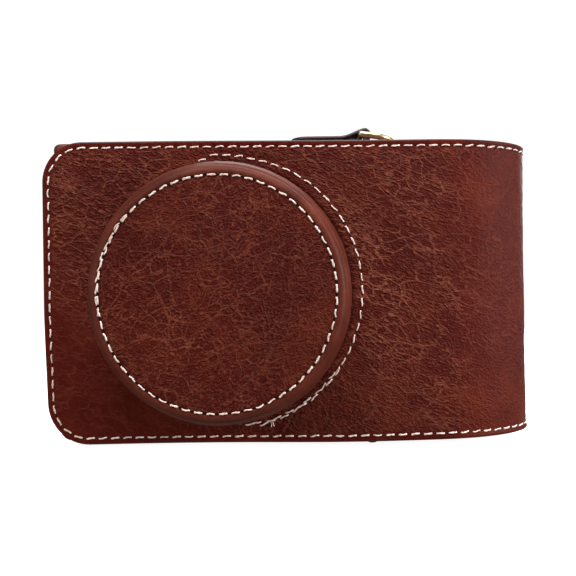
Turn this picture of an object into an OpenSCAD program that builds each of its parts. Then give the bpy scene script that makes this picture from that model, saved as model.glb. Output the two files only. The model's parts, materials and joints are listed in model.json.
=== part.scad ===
// Leather ever ready case for a compact camera, closed.
// The front faces -Y, +X is the viewer's right and +Z is up.
// The origin is on the axis of the camera screw, on the floor that the camera's base sits on.

/* [Case] */
// Overall width, from the free edge of the cover to the tip of the rounded end
case_w = 119.9; // [110:0.1:145]
// Overall height
case_h = 72.8; // [62:0.1:90]
// Depth from the front of the cover to the back, without the lens cover
case_d = 34; // [28:0.5:44]
// How far the rounded end reaches past the hinge line
end_reach = 27.3; // [22:0.1:34]
// Radius of the two free corners of the cover
cover_corner_r = 9.5; // [3:0.1:12]

/* [Layers] */
// Thickness of the outer leather
leather_t = 1.3; // [1:0.05:1.8]
// Thickness of the stiffening board
board_t = 0.9; // [0.6:0.05:1.2]
// Thickness of the suede lining
lining_t = 0.8; // [0.5:0.05:1.2]
// Gap between the front board and the lens cover's flange
board_clear = 0.2; // [0.1:0.05:0.4]
// Distance from a board's edge to the leather's edge
board_margin = 0.8; // [0.6:0.1:1]
// Distance from the edge of the top's or bottom's board to the leather's edge
tray_board_margin = 0.6; // [0.3:0.1:0.9]
// Distance from the edge of the top's or bottom's lining to the leather's edge
lining_margin = 0.2; // [0.1:0.1:0.5]

/* [Fits] */
// Gap between the closed cover and the tray
cover_gap = 0.4; // [0.3:0.05:0.8]
// How far the tray stands above the cover
cover_drop = 0.9; // [0.1:0.05:1.5]
// How far the tray stands below the cover
cover_raise = 0.1; // [0:0.05:1]
// How far the left wall sits in from the ends of the top and bottom
wall_setback = 1.2; // [0.5:0.1:3]
// How far the cover's free edge passes the tray
cover_overlap = 1.4; // [0.5:0.1:3]
// Gap left at the hinge line
hinge_gap = 0.3; // [0.2:0.05:0.6]

/* [Lens cover] */
// Distance of the lens axis to the left of the case's middle
lens_offset = 16.45; // [8:0.05:20]
// Outer radius of the lens cover's wall
lens_r = 29.2; // [22:0.1:29.5]
// How far the face stands out from the front
lens_out = 22.8; // [16:0.1:30]
// Radius of the leather disc on the face
face_r = 27.1; // [20:0.1:28]
// Radius of the stitch ring on the face
face_stitch_r = 25; // [18:0.1:26]
// Height of the rounded shoulder, along the lens axis
shoulder_h = 8.9; // [5:0.1:11]
// Width of the rounded shoulder, across the lens axis
shoulder_w = 4.2; // [3:0.1:5.5]
// Radius of the hole in the front leather
lens_hole_r = 31.2; // [24:0.1:31.5]
// Radius of the stitch ring round the lens cover's base
base_stitch_r = 32.9; // [26:0.1:33.2]
// Width of the sewn flange, from the hole's edge outwards
flange_w = 2.6; // [2.4:0.1:2.8]

/* [Stitching] */
// Distance of the edge stitching from the leather's edge
stitch_inset = 1.55; // [1.2:0.05:2.5]
// Thickness of the thread
thread_w = 0.5; // [0.4:0.05:0.8]
// How deep the thread is sunk in its channel
thread_sink = 0.2; // [0.1:0.05:0.3]

/* [Closure magnets] */
// Radius of each magnet
magnet_r = 4; // [3:0.1:4.5]
// Thickness of each keeper disc in the tray
keeper_t = 1.2; // [0.8:0.1:1.6]
// Width of the strip that turns in behind the cover's free edge
return_w = 11; // [10.5:0.1:14]
// Distance between the two magnets
magnet_span = 36; // [24:0.5:46]

/* [Strap tab] */
// Place of the ring's bar, to the right of the camera screw
tab_x = 17.45; // [10:0.05:24]
// Length of the tab, from its round end to the ring's bar
tab_len = 17.5; // [14:0.1:22]
// Width of the tab
tab_w = 9; // [7:0.1:11]
// Thickness of each of the tab's two layers
tab_t = 0.85; // [0.7:0.05:1.3]
// How far the tab's rise to the ring's loop starts before it, in loop radii
tab_rise = 1.6; // [1.3:0.1:2]
// Distance of the tab's stitching from the rise, in loop radii
tab_clear = 1.6; // [1:0.1:2]
// Place of the tab's middle along the case's depth
tab_y = -3.6; // [-5:0.1:5]
// Radius of the ring's wire
wire_r = 0.8; // [0.7:0.05:1.2]
// Clearance round the ring's bar in the leather loop
loop_gap = 0.35; // [0.3:0.05:0.7]
// Clearance between the ring's arms and the tab
arm_gap = 0.35; // [0.3:0.05:0.8]
// Length of the ring's straight arms
ring_arm = 3; // [2:0.1:5]
// Downward slope of the ring where it lies
ring_slope = 7.5; // [5:0.5:9]

/* [Camera screw] */
// Radius of the screw's thread
screw_r = 3.175; // [3.175]
// Length of thread above the floor
screw_reach = 4.8; // [4:0.1:5.5]
// Radius of the neck that holds the screw in its washer
screw_neck_r = 2.5; // [2.2:0.1:2.8]
// Radius of the screw's flat head
screw_head_r = 7.5; // [6:0.1:9]
// Thickness of the screw's head
screw_head_t = 1.2; // [1:0.05:1.25]
// Gap between the head and the leather round it
head_gap = 0.4; // [0.3:0.05:0.8]
// Running clearance of the screw in its washer
screw_gap = 0.08; // [0.05:0.01:0.1]
// Width of the coin slot
slot_w = 1.6; // [1.2:0.1:2]
// Depth of the coin slot
slot_d = 0.7; // [0.4:0.05:0.8]
// Outer radius of the washer that the screw turns in
washer_r = 9.5; // [9.2:0.1:11]

/* [Base stud] */
// Place of the stud, to the right of the camera screw
stud_x = 18.95; // [14:0.05:28]
// Radius of the stud's domed head
stud_r = 2.4; // [1.8:0.1:3]
// Height of the stud's domed head
stud_h = 1.8; // [1:0.1:2]
// Gap between the stud's head and the cover
stud_gap = 0.1; // [0.1:0.05:0.5]
// Radius of the stud's shank
stud_shank_r = 1.2; // [0.8:0.1:1.5]

/* [Hidden] */

$fn = 96;
EPS = 0.01;
// Chords along the rounded end
END_STEPS = 48;
// Chords along a rounded shoulder
ARC_STEPS = 16;

wall_t = leather_t + board_t + lining_t;
half_d = case_d / 2;
z_floor = -wall_t;
z_roof = case_h - wall_t;
inner_h = case_h - 2 * wall_t;

x_free = -case_w / 2;
x_hinge = case_w / 2 - end_reach;
x_tray = x_free + cover_overlap;
x_wall = x_tray + wall_setback;
x_roll = x_wall + wall_t;
x_back_end = x_hinge - hinge_gap;
y_front = -half_d;
y_back = half_d;
y_tray = y_front + wall_t + cover_gap;
hinge_clear = hinge_gap / 3;

z_cover_low = z_floor + cover_raise;
z_cover_high = z_roof - cover_drop;
z_lens = (z_cover_low + z_cover_high) / 2;

lens_x = -lens_offset;
lens_bore_r = lens_r - leather_t - lining_t;
flange_r = lens_hole_r + flange_w;
board_hole_r = flange_r + board_clear;
shoulder_z = lens_out - leather_t - shoulder_h;
shoulder_r = lens_r - shoulder_w;

magnet_x = x_wall + return_w / 2;
keeper_r = magnet_r;
return_t = keeper_t + lining_t;

tab_left = tab_x - tab_len;
loop_r = wire_r + loop_gap + tab_t;
tab_z = z_roof + loop_r;
ring_r = tab_w / 2 + arm_gap + wire_r;
stitch_half = thread_w / 2;
stud_y = y_tray + stud_r + stud_gap;

// Half-length of the tray's rounded end: the longest that the cover's front still swings past
// and that its round end still covers.
// The swing's radius at the front is held half the cover gap short of the front lining.
end_half = half_d - wall_t - cover_gap;
hinge_reach = half_d + hinge_clear;
swing_slack = cover_gap / 2;
swing_k = 2 * end_half * hinge_reach + 2 * swing_slack * (end_half + hinge_reach) + pow(swing_slack, 2);
swing_u = (swing_k + sqrt(pow(swing_k, 2) - 4 * pow(end_half * hinge_reach, 2))) / 2;
tray_end = min(sqrt(pow(end_half, 2) + swing_u), end_reach - wall_t - cover_gap);

// A point of the rounded end, inset square to the surface; angle -90 is the front, 90 the back.
function end_point(a, inset) =
    let (n = [cos(a) / end_reach, sin(a) / half_d])
    [x_hinge + end_reach * cos(a), half_d * sin(a)] - inset * n / norm(n);

function end_curve(inset) = [for (i = [0:END_STEPS]) end_point(-90 + 180 * i / END_STEPS, inset)];

function reversed(points) = [for (i = [len(points) - 1:-1:0]) points[i]];

// Points of an elliptical quarter, from its side at angle 0 to its top at 90.
function quarter(r, z, a, b) =
    [for (i = [0:ARC_STEPS]) [r + a * cos(90 * i / ARC_STEPS), z + b * sin(90 * i / ARC_STEPS)]];

// The rounded end between two insets and two heights.
module end_band(inset_out, inset_in, low, high) {
    translate([0, 0, low])
        linear_extrude(high - low)
            polygon(concat(end_curve(inset_out), reversed(end_curve(inset_in))));
}

// Outline of the cover's flat front, seen from the front, drawn in by an inset.
module front_outline(inset, right = x_hinge) {
    low = z_cover_low + inset;
    high = z_cover_high - inset;
    left = x_free + inset;
    r = max(cover_corner_r - inset, 1);
    for (z = [low + r, high - r])
        translate([left + r, z]) circle(r);
    translate([left, low + r]) square([right - left, high - low - 2 * r]);
    translate([left + r, low]) square([right - left - r, high - low]);
}

// Stands an outline drawn in X and Z upright, from one depth to another.
module upright(y_from, y_to) {
    translate([0, y_to, 0])
        rotate([90, 0, 0])
            linear_extrude(y_to - y_from) children();
}

// Places a shape turned about the lens axis; its own +Z points out of the front.
module on_lens_axis() {
    translate([lens_x, y_front, z_lens])
        rotate([90, 0, 0]) children();
}

module lens_bore(r) {
    on_lens_axis()
        translate([0, 0, -2 * wall_t]) cylinder(h = 4 * wall_t, r = r);
}

module magnet_disc(z, y_from, thickness, r = magnet_r) {
    translate([magnet_x, y_from + thickness, z])
        rotate([90, 0, 0]) cylinder(h = thickness, r = r);
}

module magnet_pair(y_from, thickness, r) {
    for (side = [-1, 1])
        magnet_disc(z_lens + side * magnet_span / 2, y_from, thickness, r);
}

// ---- cover: front, rounded end and lens cover ----

module cover_thread(sink = thread_sink) {
    upright(y_front - thread_w + thread_sink, y_front + sink)
        difference() {
            front_outline(stitch_inset - stitch_half);
            front_outline(stitch_inset + stitch_half, x_hinge + 1);
        }
    for (z = [z_cover_low + stitch_inset, z_cover_high - stitch_inset])
        end_band(thread_sink - thread_w, sink, z - stitch_half, z + stitch_half);
}

module cover_leather() {
    color("saddlebrown")
        difference() {
            union() {
                upright(y_front, y_front + leather_t) front_outline(0);
                end_band(0, leather_t, z_cover_low, z_cover_high);
            }
            lens_bore(lens_hole_r);
            cover_thread();
            on_lens_axis() thread_ring(base_stitch_r, 0);
        }
}

module front_board() {
    color("tan")
        difference() {
            upright(y_front + leather_t, y_front + leather_t + board_t)
                front_outline(board_margin, x_hinge - board_margin);
            lens_bore(board_hole_r);
            magnet_pair(y_front + leather_t - 1, board_t + 2, magnet_r);
        }
}

module end_board() {
    color("tan")
        end_band(leather_t, leather_t + board_t, z_cover_low + board_margin, z_cover_high - board_margin);
}

module cover_lining() {
    color("peru")
        difference() {
            union() {
                upright(y_front + leather_t + board_t, y_front + wall_t) front_outline(0);
                end_band(leather_t + board_t, wall_t, z_cover_low, z_cover_high);
            }
            lens_bore(lens_bore_r + lining_t);
        }
}

module cover_stitches() {
    color("antiquewhite") cover_thread();
}

module thread_ring(r, height) {
    translate([0, 0, height - thread_sink])
        difference() {
            cylinder(h = thread_w, r = r + stitch_half);
            translate([0, 0, -1]) cylinder(h = thread_w + 2, r = r - stitch_half);
        }
}

module lens_wall() {
    turned_in = shoulder_r - shoulder_w;
    flange_low = -leather_t - board_t;
    rim_low = shoulder_z + shoulder_h - leather_t;
    outer = quarter(shoulder_r, shoulder_z, shoulder_w, shoulder_h);
    inner = quarter(shoulder_r, shoulder_z, shoulder_w - leather_t, shoulder_h - leather_t);
    color("sienna")
        on_lens_axis()
            rotate_extrude()
                polygon(concat(
                    [[lens_r - leather_t, flange_low], [flange_r, flange_low], [flange_r, -leather_t],
                     [lens_hole_r, -leather_t], [lens_r, 0]],
                    outer,
                    [[turned_in, shoulder_z + shoulder_h], [turned_in, rim_low]],
                    reversed(inner)));
}

module lens_face() {
    color("saddlebrown")
        on_lens_axis()
            difference() {
                translate([0, 0, lens_out - leather_t]) cylinder(h = leather_t, r = face_r);
                thread_ring(face_stitch_r, lens_out);
            }
}

module lens_board() {
    color("tan")
        on_lens_axis()
            translate([0, 0, lens_out - 2 * leather_t])
                cylinder(h = leather_t, r = shoulder_r - shoulder_w);
}

module lens_lining() {
    color("peru")
        on_lens_axis()
            rotate_extrude()
                polygon(concat(
                    [[lens_bore_r, -wall_t], [lens_bore_r + lining_t, -wall_t]],
                    quarter(shoulder_r, shoulder_z, shoulder_w - leather_t, shoulder_h - leather_t),
                    [[0, lens_out - 2 * leather_t], [0, lens_out - 2 * leather_t - lining_t]],
                    reversed(quarter(shoulder_r, shoulder_z,
                        shoulder_w - leather_t - lining_t, shoulder_h - leather_t - lining_t))));
}

module face_stitches() {
    color("antiquewhite") on_lens_axis() thread_ring(face_stitch_r, lens_out);
}

module base_stitches() {
    color("antiquewhite") on_lens_axis() thread_ring(base_stitch_r, 0);
}

module upper_magnet() {
    color("silver") magnet_disc(z_lens + magnet_span / 2, y_front + leather_t, board_t);
}

module lower_magnet() {
    color("silver") magnet_disc(z_lens - magnet_span / 2, y_front + leather_t, board_t);
}

// ---- tray: back, top, bottom and left wall ----

// Outline of the back, seen from the front, drawn in by an inset.
module back_outline(inset, right = x_back_end) {
    translate([x_tray + inset, z_floor + inset])
        square([right - x_tray - inset, case_h - 2 * inset]);
}

module back_thread() {
    upright(y_back - thread_sink, y_back - thread_sink + thread_w)
        difference() {
            back_outline(stitch_inset - stitch_half, x_back_end - thread_w);
            back_outline(stitch_inset + stitch_half, x_hinge + 1);
        }
}

module back_leather() {
    color("saddlebrown")
        difference() {
            upright(y_back - leather_t, y_back) back_outline(0);
            back_thread();
        }
}

module back_board() {
    left = x_wall + leather_t + board_t;
    color("tan")
        translate([left, y_back - leather_t - board_t, 0])
            cube([x_back_end - left, board_t, inner_h]);
}

module back_lining() {
    left = x_wall + wall_t;
    color("peru")
        translate([left, y_back - wall_t, 0])
            cube([x_back_end - left, lining_t, inner_h]);
}

module back_stitches() {
    color("antiquewhite") back_thread();
}

// Outline of the top or bottom, from above: square at the left and back, rounded at the
// right.
module tray_outline(left, margin) {
    depth = y_back - leather_t - y_tray;
    translate([left, y_tray + margin])
        square([x_back_end - left, depth - margin]);
    polygon(concat(
        [[x_back_end - 1, y_tray + margin]],
        [for (i = [0:END_STEPS])
            let (a = -90 + 180 * i / END_STEPS)
            [x_hinge + (tray_end - margin) * cos(a), (end_half - margin) * sin(a)]],
        [[x_back_end - 1, end_half - margin]]));
}

module tray_layer(low, thickness, left, margin = 0) {
    translate([0, 0, low]) linear_extrude(thickness) tray_outline(left, margin);
}

// One layer of the bottom's left edge, which rolls up a quarter turn into the left wall.
module edge_roll(outer, inner, margin = 0) {
    translate([x_roll, y_tray + margin, 0])
        rotate([-90, 0, 0])
            linear_extrude(y_back - leather_t - y_tray - margin)
                difference() {
                    intersection() {
                        circle(outer);
                        translate([-outer, 0]) square(outer);
                    }
                    if (inner > 0) circle(inner);
                }
}

module top_leather() {
    color("saddlebrown") tray_layer(z_roof - leather_t, leather_t, x_tray);
}

module top_board() {
    color("tan")
        tray_layer(z_roof - leather_t - board_t, board_t, x_tray + tray_board_margin,
            tray_board_margin);
}

module top_lining() {
    color("peru")
        tray_layer(z_roof - wall_t, lining_t, x_tray + lining_margin, lining_margin);
}

module screw_hole(r) {
    translate([0, 0, z_floor - 1]) cylinder(h = wall_t + 2, r = r);
}

module stud_hole() {
    translate([stud_x, stud_y, z_floor - 1]) cylinder(h = wall_t + 2, r = stud_shank_r);
}

module bottom_leather() {
    color("saddlebrown")
        difference() {
            union() {
                tray_layer(z_floor, leather_t, x_roll);
                edge_roll(wall_t, wall_t - leather_t);
            }
            screw_hole(screw_head_r + head_gap);
            stud_hole();
        }
}

module bottom_board() {
    color("tan")
        difference() {
            union() {
                tray_layer(z_floor + leather_t, board_t, x_roll, tray_board_margin);
                edge_roll(wall_t - leather_t, lining_t, tray_board_margin);
            }
            screw_hole(washer_r);
            stud_hole();
        }
}

module bottom_lining() {
    color("peru")
        difference() {
            union() {
                tray_layer(z_floor + leather_t + board_t, lining_t, x_roll, lining_margin);
                edge_roll(lining_t, 0, lining_margin);
            }
            screw_hole(screw_r + head_gap);
        }
}

// An end wall that turns in behind the cover, seen from above.
module left_profile(outset, front, turn_t, thickness, back) {
    x = x_wall + outset;
    translate([x, front]) square([thickness, back - front]);
    translate([x, front]) square([x_wall + return_w - x, turn_t]);
}

module left_leather() {
    color("saddlebrown")
        linear_extrude(inner_h)
            left_profile(0, y_tray, leather_t, leather_t, y_back - leather_t);
}

module left_board() {
    front = y_tray + leather_t;
    color("tan")
        difference() {
            translate([x_wall + leather_t, front, 0])
                cube([board_t, y_back - leather_t - front, inner_h]);
            magnet_pair(front - 1, keeper_t + 1, keeper_r);
        }
}

module left_lining() {
    color("peru")
        difference() {
            linear_extrude(inner_h)
                left_profile(leather_t + board_t, y_tray + leather_t, return_t, lining_t,
                    y_back - leather_t - board_t);
            magnet_pair(y_tray + leather_t - 1, keeper_t + 1, keeper_r);
        }
}

module upper_keeper() {
    color("silver") magnet_disc(z_lens + magnet_span / 2, y_tray + leather_t, keeper_t);
}

module lower_keeper() {
    color("silver") magnet_disc(z_lens - magnet_span / 2, y_tray + leather_t, keeper_t);
}

// ---- strap tab and ring ----

// The folded tab from the side: two layers, rising to the loop round the ring's bar.
module tab_profile() {
    rise = tab_rise * loop_r;
    translate([tab_x, tab_z]) circle(loop_r);
    translate([tab_left, z_roof]) square([tab_len - rise, 2 * tab_t]);
    polygon([
        [tab_x - rise - EPS, z_roof], [tab_x, z_roof], [tab_x, tab_z + loop_r],
        [tab_x - loop_r * sin(30), tab_z + loop_r * cos(30)], [tab_x - rise - EPS, z_roof + 2 * tab_t]]);
}

module tab_thread() {
    length = tab_len - (tab_rise + tab_clear) * loop_r;
    width = tab_w - 2 * stitch_inset;
    left = tab_left + 2 * stitch_inset;
    translate([left, tab_y - width / 2, z_roof + 2 * tab_t - thread_sink])
        difference() {
            cube([length, width, thread_w]);
            translate([thread_w, thread_w, -1])
                cube([length - 2 * thread_w, width - 2 * thread_w, thread_w + 2]);
        }
}

module strap_tab() {
    round_r = tab_w / 2;
    color("maroon")
        difference() {
            intersection() {
                translate([0, tab_y + tab_w / 2, 0])
                    rotate([90, 0, 0]) linear_extrude(tab_w) tab_profile();
                translate([0, 0, z_roof])
                    linear_extrude(3 * loop_r)
                        union() {
                            translate([tab_left + round_r, tab_y]) circle(round_r);
                            translate([tab_left + round_r, tab_y - round_r])
                                square([tab_len + 2 * loop_r, tab_w]);
                        }
            }
            translate([tab_x, tab_y + tab_w, tab_z])
                rotate([90, 0, 0]) cylinder(h = 2 * tab_w, r = loop_r - tab_t);
            tab_thread();
        }
}

module tab_stitches() {
    color("antiquewhite") tab_thread();
}

// The ring lying flat from its bar, before it is sloped: the bar is on Y, the arch towards +X.
module ring_flat() {
    rotate([90, 0, 0])
        translate([0, 0, -ring_r]) cylinder(h = 2 * ring_r, r = wire_r);
    for (side = [-1, 1])
        translate([0, side * ring_r, 0]) {
            rotate([0, 90, 0]) cylinder(h = ring_arm, r = wire_r);
            sphere(wire_r);
        }
    translate([ring_arm, 0, 0])
        difference() {
            rotate_extrude() translate([ring_r, 0]) circle(wire_r);
            translate([-3 * ring_r, -3 * ring_r, -2 * wire_r])
                cube([3 * ring_r, 6 * ring_r, 4 * wire_r]);
        }
}

module strap_ring() {
    color("khaki")
        translate([tab_x, tab_y, tab_z]) rotate([0, ring_slope, 0]) ring_flat();
}

// ---- base ----

module camera_screw() {
    color("dimgray")
        difference() {
            union() {
                translate([0, 0, z_floor]) cylinder(h = screw_head_t, r = screw_head_r);
                translate([0, 0, z_floor]) cylinder(h = wall_t + EPS, r = screw_neck_r);
                cylinder(h = screw_reach, r = screw_r);
            }
            translate([-screw_head_r - 1, -slot_w / 2, z_floor - 1])
                cube([2 * screw_head_r + 2, slot_w, slot_d + 1]);
        }
}

module screw_washer() {
    color("silver")
        translate([0, 0, z_floor + leather_t])
            difference() {
                cylinder(h = board_t, r = washer_r);
                translate([0, 0, -1]) cylinder(h = board_t + 2, r = screw_neck_r + screw_gap);
            }
}

module base_stud() {
    dome_r = (pow(stud_r, 2) + pow(stud_h, 2)) / (2 * stud_h);
    color("dimgray")
        translate([stud_x, stud_y, z_floor]) {
            difference() {
                translate([0, 0, dome_r - stud_h]) sphere(dome_r);
                translate([-2 * dome_r, -2 * dome_r, 0]) cube(4 * dome_r);
            }
            translate([0, 0, -stud_h / 4]) cylinder(h = leather_t + board_t + stud_h / 4, r = stud_shank_r);
        }
}

cover_leather();
front_board();
end_board();
cover_lining();
cover_stitches();
lens_wall();
lens_face();
lens_board();
lens_lining();
face_stitches();
base_stitches();
upper_magnet();
lower_magnet();
back_leather();
back_board();
back_lining();
back_stitches();
top_leather();
top_board();
top_lining();
bottom_leather();
bottom_board();
bottom_lining();
left_leather();
left_board();
left_lining();
upper_keeper();
lower_keeper();
strap_tab();
tab_stitches();
strap_ring();
camera_screw();
screw_washer();
base_stud();
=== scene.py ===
"""Looks of the leather ever ready case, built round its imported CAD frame. Lengths are in millimetres."""
import json
import math
import bmesh
import bpy
import numpy as np
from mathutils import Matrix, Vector, noise
from mathutils.geometry import delaunay_2d_cdt


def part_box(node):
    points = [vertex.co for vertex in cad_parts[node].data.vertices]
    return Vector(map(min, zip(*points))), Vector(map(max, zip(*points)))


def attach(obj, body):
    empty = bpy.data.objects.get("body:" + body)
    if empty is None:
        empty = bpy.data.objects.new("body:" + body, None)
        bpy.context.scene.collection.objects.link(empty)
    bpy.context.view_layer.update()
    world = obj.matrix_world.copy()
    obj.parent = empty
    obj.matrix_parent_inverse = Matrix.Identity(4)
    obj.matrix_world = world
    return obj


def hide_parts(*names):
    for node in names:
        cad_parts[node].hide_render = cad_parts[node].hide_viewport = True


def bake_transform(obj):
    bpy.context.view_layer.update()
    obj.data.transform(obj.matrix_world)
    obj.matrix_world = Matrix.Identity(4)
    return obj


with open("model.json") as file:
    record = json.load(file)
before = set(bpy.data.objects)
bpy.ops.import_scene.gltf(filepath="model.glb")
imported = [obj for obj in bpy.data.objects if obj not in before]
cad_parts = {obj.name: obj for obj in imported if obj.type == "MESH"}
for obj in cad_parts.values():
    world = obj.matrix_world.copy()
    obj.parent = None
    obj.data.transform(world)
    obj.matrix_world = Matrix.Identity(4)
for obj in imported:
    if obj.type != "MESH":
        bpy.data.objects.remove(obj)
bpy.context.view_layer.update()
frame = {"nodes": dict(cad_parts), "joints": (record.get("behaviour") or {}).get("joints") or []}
MM = 0.001
TAU = 2 * math.pi


def box(node):
    low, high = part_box(node)
    return np.array(low) / MM, np.array(high) / MM


# ---- sizes read from the frame ----
COVER = box("cover_leather")
BACK = box("back_leather")
TOP = box("top_leather")
BOTTOM = box("bottom_leather")
LEFT = box("left_leather")
FACE = box("lens_face")
TAB = box("strap_tab")

FREE_X = COVER[0][0]
LOW_Z, HIGH_Z = COVER[0][2], COVER[1][2]
HINGE_GAP = 0.3
HINGE_X = BACK[1][0] + HINGE_GAP
REACH = COVER[1][0] - HINGE_X
HALF_D = COVER[1][1]
LEATHER = BACK[1][1] - BACK[0][1]
TRAY_X = BACK[0][0]
LENS_X = (FACE[0][0] + FACE[1][0]) / 2
LENS_Z = (FACE[0][2] + FACE[1][2]) / 2
LENS_OUT = -HALF_D - FACE[0][1]
FACE_R = (FACE[1][0] - FACE[0][0]) / 2
FRONT_LEN = HINGE_X - FREE_X

# ---- sizes that only the looks need ----
SHEET_T = 2.2          # leather and board together, on the cover
LINING_T = 0.8
PITCH = 3.02           # from stitch to stitch
INSET = 1.55           # from an edge to its row of stitches
CORNER_R = 9.5
TAB_T = 0.98
FACE_STITCH_R = 25.0
FACE_STITCHES = 60
BASE_STITCH_R = 32.9
BASE_STITCHES = 69
HOLE_R = 30.3          # the hole that the lens cover stands in
WALL_R = 29.2
SHOULDER_Z = 12.6      # where the lens cover's shoulder starts, out from the front
SHOULDER_W = 4.2
SHOULDER_H = 8.9
ROLL = 0.8             # the camera's roll, in degrees


# ---- small helpers ----
def smooth(x, a, b):
    t = np.clip((np.asarray(x, float) - a) / (b - a), 0, 1)
    return t * t * (3 - 2 * t)


def bell(x, middle, width):
    return np.exp(-(((np.asarray(x, float) - middle) / width) ** 2))


def fbm(points, scale, octaves=3, seed=0.0):
    """Smooth noise, about -1 to 1, at points in millimetres."""
    shift = Vector((seed * 7.13, seed * 3.71, seed * 5.37))
    return np.array([noise.fractal(Vector(p) * scale + shift, 1.0, 2.0, octaves) for p in points])


def add_object(name, data):
    obj = bpy.data.objects.new(name, data)
    bpy.context.scene.collection.objects.link(obj)
    return obj


def new_mesh(name, verts, faces, materials, face_slots=None):
    mesh = bpy.data.meshes.new(name)
    mesh.from_pydata((np.asarray(verts) * MM).tolist(), [], faces)
    for m in materials:
        mesh.materials.append(m)
    if face_slots is not None:
        mesh.polygons.foreach_set("material_index", np.asarray(face_slots, np.int32))
    mesh.polygons.foreach_set("use_smooth", np.ones(len(mesh.polygons), bool))
    mesh.update()
    return add_object(name, mesh)


def face_outwards(obj, weld=False):
    """Turns every face outwards, after joining the points that meet if weld is set."""
    bm = bmesh.new()
    bm.from_mesh(obj.data)
    if weld:
        bmesh.ops.remove_doubles(bm, verts=bm.verts, dist=1e-6)
        bmesh.ops.dissolve_degenerate(bm, edges=bm.edges, dist=1e-7)
    bmesh.ops.recalc_face_normals(bm, faces=bm.faces)
    bm.to_mesh(obj.data)
    bm.free()
    obj.data.update()


def circle(x, y, r, count, turn=0.0):
    a = np.arange(count) * TAU / count + turn
    return np.column_stack([x + r * np.cos(a), y + r * np.sin(a)])


def arc(x, y, rx, ry, start, end, count):
    """Points along part of an ellipse, with both its ends; start and end are in quarter turns."""
    a = np.linspace(start, end, count) * math.pi / 2
    return np.column_stack([x + rx * np.cos(a), y + ry * np.sin(a)])


def distances(path):
    """How far along a path each of its points is."""
    return np.concatenate([[0], np.cumsum(np.linalg.norm(np.diff(path, axis=0), axis=1))])


def follow(path, s, at):
    """Points of a flat path at distances at along it; s is distances(path)."""
    return np.column_stack([np.interp(at, s, path[:, i]) for i in range(2)])


def brick_grid(low, high, step):
    """Points of a grid with every other row shifted by half a step."""
    us = np.arange(low[0], high[0], step)
    vs = np.arange(low[1], high[1], step)
    return np.array([(u + (j % 2) * step / 2, v) for j, v in enumerate(vs) for u in us])


def triangulate(parts, closed):
    """Flat triangles over the points of all parts; the first few parts, closed, are loops that stay edges.

    Returns the points, the triangles and each loop's new indices.
    """
    ends = np.cumsum([0] + [len(part) for part in parts]).tolist()
    spans = [(a, b) for a, b in zip(ends[:closed], ends[1:])]
    edges = [(i, i + 1 if i + 1 < b else a) for a, b in spans for i in range(a, b)]
    out = delaunay_2d_cdt([Vector(p) for p in np.vstack(parts)], edges, [], 0, 1e-6)
    index = {}
    for new, olds in enumerate(out[3]):
        for old in olds:
            index.setdefault(old, new)
    return (np.array([tuple(v) for v in out[0]]), np.array([f for f in out[2] if len(f) == 3]),
            [[index[i] for i in range(a, b)] for a, b in spans])


def rolled(near, edge):
    """How far a rounded edge of radius edge sinks at distance near from the rim."""
    return edge - np.sqrt(np.maximum(edge ** 2 - np.maximum(edge - near, 0) ** 2, 0))


def thick_mesh(name, top, under, tris, rim, loops, materials):
    """Closes two layers of the same triangles along loops. rim marks the triangles of edge material."""
    n = len(top)
    faces = [tuple(f) for f in tris] + [tuple(int(i) + n for i in f[::-1]) for f in tris]
    slots = list(np.where(rim, 1, 0)) + list(np.where(rim, 1, 2))
    for loop in loops:
        for p, q in zip(loop, loop[1:] + loop[:1]):
            faces.append((p, q, q + n, p + n))
            slots.append(1)
    obj = new_mesh(name, np.vstack([top, under]), faces, materials, slots)
    face_outwards(obj)
    return obj


# ---- the path of the sheet that wraps the case ----
_angles = np.linspace(-math.pi / 2, math.pi / 2, 901)
_end_x = REACH * np.cos(_angles)
_end_y = HALF_D * np.sin(_angles)
_end_s = np.concatenate([[0], np.cumsum(np.hypot(np.diff(_end_x), np.diff(_end_y)))])
END_LEN = _end_s[-1]
BACK_LEN = HINGE_X - TRAY_X
SHEET_LEN = FRONT_LEN + END_LEN + BACK_LEN


def wrap(s):
    """Point and outward normal, seen from above, at s along the sheet from the cover's free edge."""
    a = np.interp(s - FRONT_LEN, _end_s, _angles)
    x = HINGE_X + REACH * np.cos(a)
    y = HALF_D * np.sin(a)
    x = np.where(s < FRONT_LEN, FREE_X + s, x)
    x = np.where(s > FRONT_LEN + END_LEN, HINGE_X - (s - FRONT_LEN - END_LEN), x)
    nx = np.cos(a) / REACH
    ny = np.sin(a) / HALF_D
    n = np.hypot(nx, ny)
    return x, y, nx / n, ny / n


def height_share(z):
    """0 at the sheet's lower edge, 1 at its upper edge."""
    return np.clip((z - LOW_Z) / (HIGH_Z - LOW_Z), 0, 1)


def droop(s, z):
    """How far the cover's free side is stretched: up along its top edge, down at its lower corner."""
    free = np.clip(1 - s / FRONT_LEN, 0, 1)
    high = height_share(z)
    sag = 0.45 * free ** 2 + 0.55 * bell(s, 74, 26)
    return 0.42 * smooth(free, 0.05, 0.75) * high ** 3 - sag * (1 - high) ** 3


def lean(s, z):
    """How far the lower part of the free edge is drawn in."""
    free = np.clip(1 - s / FRONT_LEN, 0, 1)
    low = np.clip((LENS_Z - z) / (LENS_Z - LOW_Z), 0, 1)
    return 0.75 * smooth(low, 0.05, 0.95) * smooth(free, 0.6, 1.0)


def flare(s, z):
    """How far the sheet's edges lean out where it goes round the end."""
    round_end = smooth(s, FRONT_LEN, FRONT_LEN + 14) * smooth(s, SHEET_LEN, FRONT_LEN + END_LEN)
    edge = np.minimum(z - LOW_Z, HIGH_Z - z)
    return 0.35 * round_end * (1 - smooth(edge, 0, 2.6))


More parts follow.
